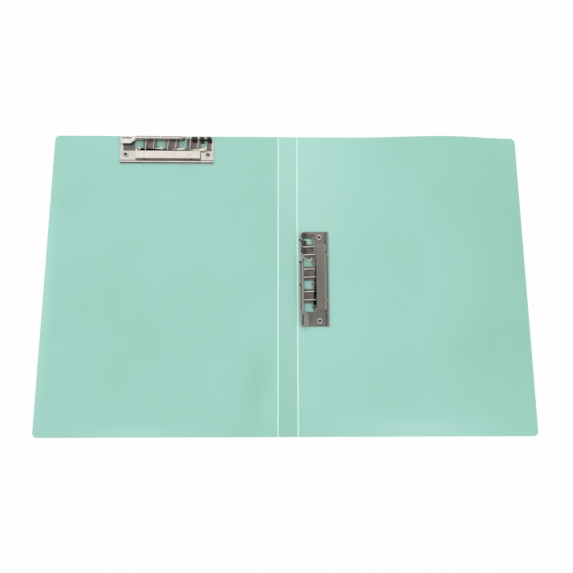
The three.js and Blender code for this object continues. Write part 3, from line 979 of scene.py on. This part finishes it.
def lever_clip(place):
    """All the pieces of one clip."""
    prefix, body = place.prefix, place.cover
    base = base_steel(f"{prefix}_base_steel", place)
    press = plated_steel(
        f"{prefix}_press_steel", place, PRESS_TINT,
        rough=0.12, brushed=0.8, dented=0.1, dulled=0.92,
    )
    bar = lever_steel(f"{prefix}_lever_steel", place)
    wire = plated_steel(f"{prefix}_wire_steel", place, WIRE_TINT, rough=0.14, brushed=0.1)
    # Painted shade on the hoods, darker on the top clip
    hood_shade = SIDE_HOOD_SHADE if place.upright else TOP_HOOD_SHADE
    dark = plated_steel(f"{prefix}_hood_steel", place, hood_shade, rough=0.2)
    rolled = rivet_steel(f"{prefix}_rivet_steel")
    plate = copied(f"{prefix}_base_plate", f"{prefix}_stamped_base", base)
    hang(plate, body, "plated_steel", f"{prefix}_base_plate")
    jaw = copied(f"{prefix}_press_plate", f"{prefix}_folded_jaw", press)
    hang(jaw, f"{prefix}_press_plate", "plated_steel", f"{prefix}_press_plate")
    handle = copied(f"{prefix}_lever", f"{prefix}_formed_lever", bar)
    hang(handle, f"{prefix}_lever", "plated_steel", f"{prefix}_lever")
    for number in (1, 2, 3):
        loop = spring_loop(place, number, wire)
        hang(loop, f"{prefix}_springs", "spring_wire", f"{prefix}_spring_{number}")
    hang(pivot_rod(place, wire), body, "spring_wire", f"{prefix}_pivot_rod")
    for end in ("near", "far"):
        hang(eyelet(place, end, rolled), body, "plated_steel", f"{prefix}_{end}_rivet")
    for number, u in enumerate(NIBS, 1):
        hang(nib(place, number, u, wire), body, "plated_steel")
    for number, (low_u, high_u, corner) in enumerate(HOODS, 1):
        hang(hood(place, number, low_u, high_u, corner, dark), body, "plated_steel")


def studio_floor():
    """A plain white floor that shows itself white and still takes a soft shadow."""
    data = bpy.data.meshes.new("floor")
    corners = [(-1, -1, 0), (1, -1, 0), (1, 1, 0), (-1, 1, 0)]
    data.from_pydata((np.array(corners) * FLOOR_HALF).tolist(), [], [(0, 1, 2, 3)])
    floor = bpy.data.objects.new("floor", data)
    bpy.context.scene.collection.objects.link(floor)
    material, shader = new_material("floor_white")
    matt = shader.node("ShaderNodeBsdfDiffuse", None, {"Color": FLOOR_WHITE})
    glow = shader.node("ShaderNodeEmission", None, {"Color": WHITE, "Strength": 1.0})
    seen = shader.math("MAXIMUM", shader.ray(CAMERA_RAY), shader.ray(GLOSSY_RAY))
    inputs = {0: seen * FLOOR_GLOW, 1: matt, 2: glow}
    look = shader.node("ShaderNodeMixShader", None, inputs)
    shader.node("ShaderNodeOutputMaterial", None, {"Surface": look})
    data.materials.append(material)


def studio_air():
    """Even light all round. What shines sees a grey patch straight overhead, where the
    camera stands, and the walls of a room beyond it."""
    world = bpy.data.worlds.new("studio")
    bpy.context.scene.world = world
    world.use_nodes = True
    shader = Shader(world.node_tree)
    x, y, z = shader.apart(shader.node("ShaderNodeTexCoord", output="Generated"))
    walls = shader.mix(z.ramp(*WALL_Z), LOW_WALL, WALL)
    walls = shader.mix(y.ramp(*REAR_Y) * z.ramp(*REAR_Z), walls, REAR_WINDOW)
    walls = shader.mix(1 - y.ramp(*FRONT_Y), walls, FRONT_WALL)
    walls = shader.mix(1 - x.ramp(*LEFT_X), walls, LEFT_WALL)
    walls = shader.mix(x.ramp(*RIGHT_X), walls, RIGHT_WALL)
    ceiling = shader.mix((y / z).ramp(*CEILING_TURN), FRONT_CEILING, CEILING)
    overhead = (x / z).near(*CEILING_X) * (y / z).near(*CEILING_Y)
    room = shader.mix(overhead * z.ramp(*CEILING_Z), walls, ceiling)
    shiny = shader.ray(GLOSSY_RAY)
    full = (shiny + shader.ray(CAMERA_RAY)) * (1 - AIR_STRENGTH)
    inputs = {"Color": shader.mix(shiny, WHITE, room), "Strength": AIR_STRENGTH + full}
    light = shader.node("ShaderNodeBackground", None, inputs)
    shader.node("ShaderNodeOutputWorld", None, {"Surface": light})


def soft_lamp(name, place, size, watts):
    """A broad lamp that faces the folder. What shines mirrors the room and not the lamp."""
    data = bpy.data.lights.new(name, "AREA")
    data.shape = "RECTANGLE"
    data.size, data.size_y = size
    data.energy = watts
    lamp = bpy.data.objects.new(name, data)
    lamp.location = place
    lamp.rotation_euler = (-Vector(place)).to_track_quat("-Z", "Y").to_euler()
    lamp.visible_glossy = False
    bpy.context.scene.collection.objects.link(lamp)


def photo_camera():
    """The fitted camera, which looks down on the folder from a little in front of it."""
    data = bpy.data.cameras.new("camera")
    data.sensor_fit = "HORIZONTAL"
    data.sensor_width = SENSOR
    data.lens = SENSOR * FOCAL_PIXELS / IMAGE_SIDE
    data.clip_start = CAMERA_NEAREST * MM
    turn = Matrix.Rotation(CAMERA_TILT, 4, "X")
    turn = turn @ Matrix.Rotation(CAMERA_LEAN, 4, "Y")
    turn = turn @ Matrix.Rotation(CAMERA_TURN, 4, "Z")
    camera = bpy.data.objects.new("camera", data)
    camera.matrix_world = Matrix.Translation(Vector(CAMERA_PLACE) * MM) @ turn
    bpy.context.scene.collection.objects.link(camera)
    return camera


top_clip = ClipPlace("top_clip", "front_cover", upright=False)
side_clip = ClipPlace("side_clip", "back_cover", upright=True)

right_plastic = folder_plastic("right_cover_plastic", RIGHT_PAINTED_SHEEN, side_clip, SIDE_CLIP_SHADOW)
left_plastic = folder_plastic("left_cover_plastic", LEFT_PAINTED_SHEEN, top_clip, TOP_CLIP_SHADOW)
spine_plastic = folder_plastic("spine_plastic", SPINE_PAINTED_SHEEN)
cover("back_cover_sheet", 1, curl, right_plastic, "back_cover", side_clip)
cover("front_cover_sheet", -1, flat, left_plastic, "front_cover", top_clip)
spine_strip(spine_plastic)
hinge_web("front_hinge_web", -crease, spine_plastic)
hinge_web("back_hinge_web", crease, spine_plastic)
lever_clip(top_clip)
lever_clip(side_clip)

studio_floor()
studio_air()
for lamp_name, lamp_place, lamp_size, lamp_watts in LAMPS:
    soft_lamp(lamp_name, lamp_place, lamp_size, lamp_watts)
bpy.context.scene.camera = photo_camera()
bpy.context.scene.view_settings.view_transform = "Standard"
